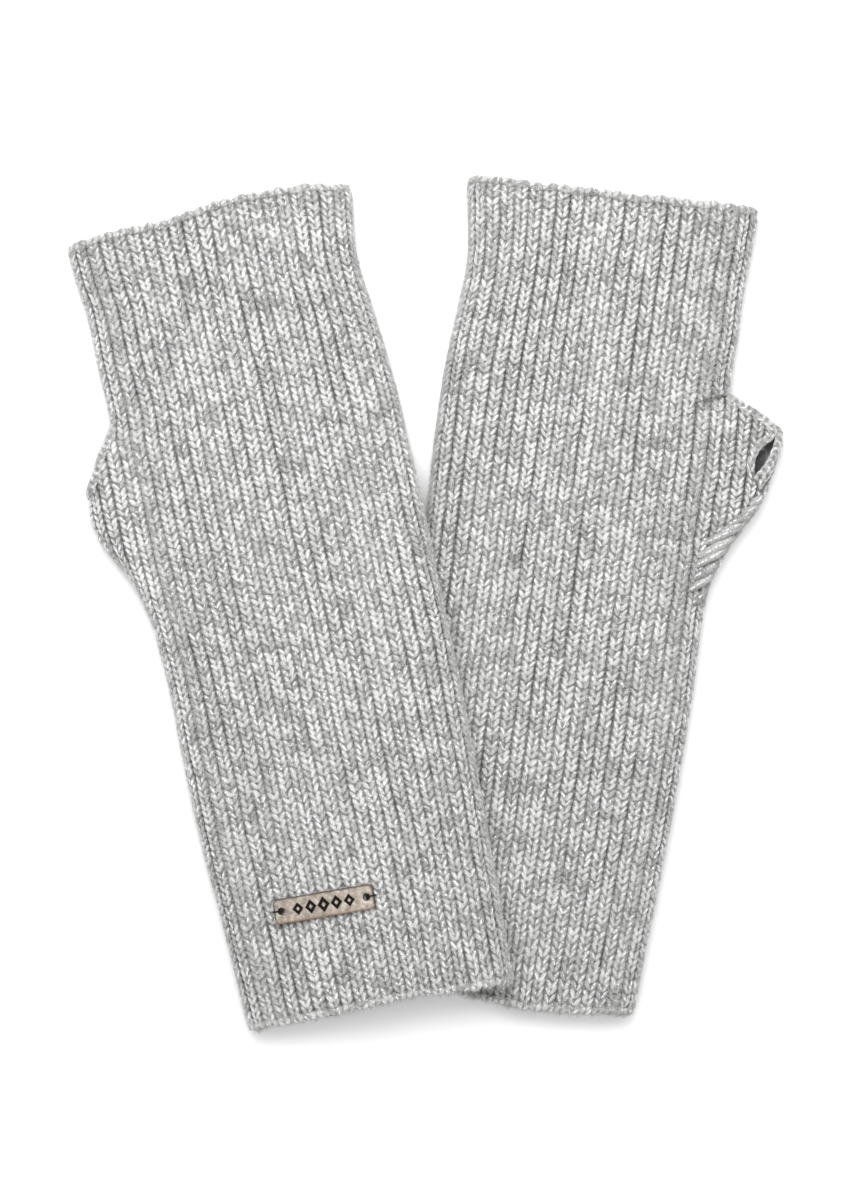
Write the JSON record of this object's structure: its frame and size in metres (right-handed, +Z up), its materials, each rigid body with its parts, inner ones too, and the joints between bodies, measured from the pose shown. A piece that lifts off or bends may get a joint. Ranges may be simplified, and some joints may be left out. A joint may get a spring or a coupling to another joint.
{
  "type": "fingerless gloves",
  "caption": "Pair of rib-knit fingerless gloves with thumb gussets and a small sewn metal label, lying palm down with one overlapping the other at the cuff.",
  "frame": {"origin": "middle of the pair's outline, on the surface that the gloves lie on", "axes": "+Z up from the surface, +Y from the cuffs towards the fingers, +X towards the left-hand glove"},
  "size_m": [0.2187, 0.26, 0.0187],
  "materials": {
    "rib_knit": "heather grey wool-blend rib with fine metallic flecks",
    "seam_yarn": "heather grey linking seam",
    "edge_yarn": "heather grey cast-on and bound-off edge",
    "label_metal": "antique nickel, satin",
    "label_thread": "dark sewing thread"
  },
  "bodies": {
    "left_glove": {"left_back_panel": "rib_knit", "left_palm_panel": "rib_knit", "left_outer_seam": "seam_yarn", "left_wrist_seam": "seam_yarn", "left_finger_seam": "seam_yarn", "left_cuff_edge": "edge_yarn", "left_finger_edge": "edge_yarn"},
    "left_thumb": {"left_gusset_back": "rib_knit", "left_gusset_palm": "rib_knit", "left_gusset_seam": "seam_yarn", "left_thumb_edge": "edge_yarn"},
    "right_glove": {"right_back_panel": "rib_knit", "right_palm_panel": "rib_knit", "right_outer_seam": "seam_yarn", "right_wrist_seam": "seam_yarn", "right_finger_seam": "seam_yarn", "right_cuff_edge": "edge_yarn", "right_finger_edge": "edge_yarn", "label_plate": "label_metal", "label_tie_inner": "label_thread", "label_tie_outer": "label_thread"},
    "right_thumb": {"right_gusset_back": "rib_knit", "right_gusset_palm": "rib_knit", "right_gusset_seam": "seam_yarn", "right_thumb_edge": "edge_yarn"}
  },
  "joints": [
    {"name": "right_glove_lift", "type": "slide", "parent": "left_glove", "child": "right_glove", "axis": [0, 0, 1], "range_m": [0, 0.15]},
    {"name": "left_thumb_fold", "type": "hinge", "parent": "left_glove", "child": "left_thumb", "pos_m": [0.08927, 0.03218, 0.0045], "axis": [-0.1323, -0.9912, 0], "range_deg": [0, 45]},
    {"name": "right_thumb_fold", "type": "hinge", "parent": "right_glove", "child": "right_thumb", "pos_m": [-0.09029, 0.02518, 0.0045], "axis": [-0.2164, 0.9763, 0], "range_deg": [0, 45]}
  ]
}
